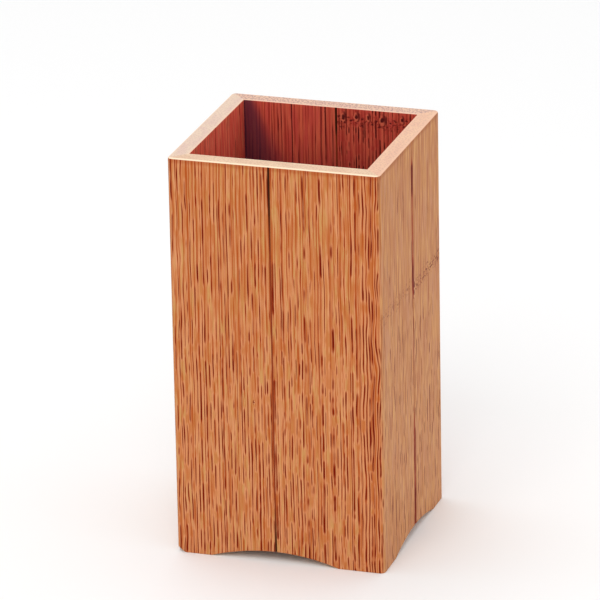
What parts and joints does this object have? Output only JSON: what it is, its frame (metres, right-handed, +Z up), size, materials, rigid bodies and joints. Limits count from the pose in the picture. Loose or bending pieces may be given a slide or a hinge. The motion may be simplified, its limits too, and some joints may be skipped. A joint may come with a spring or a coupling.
{
  "type": "utensil stand",
  "caption": "Open-topped box stand of edge-glued smoked bamboo boards with mitred corners, a grooved-in floor and a shallow arch between the feet on every side.",
  "frame": {"origin": "middle of the base, on the plane of the feet", "axes": "+Z up, -Y towards the front wall, +X towards the right wall"},
  "size_m": [0.08, 0.076, 0.154],
  "materials": {
    "bamboo_front": "smoked bamboo, tan-orange with red-brown fibre flecks, satin clear coat",
    "bamboo_side": "smoked bamboo, duller tan with fine low-contrast fibres, satin clear coat",
    "bamboo_floor": "smoked bamboo, darker red-brown, satin",
    "glue_seam": "dark glued joint, matt"
  },
  "bodies": {
    "root": {"front_left_stave": "bamboo_front", "front_right_stave": "bamboo_front", "front_seam": "glue_seam", "right_front_stave": "bamboo_side", "right_back_stave": "bamboo_side", "right_seam": "glue_seam", "back_right_stave": "bamboo_front", "back_left_stave": "bamboo_front", "back_seam": "glue_seam", "left_back_stave": "bamboo_side", "left_front_stave": "bamboo_side", "left_seam": "glue_seam", "floor_left_board": "bamboo_floor", "floor_right_board": "bamboo_floor", "floor_seam": "glue_seam"}
  },
  "joints": []
}
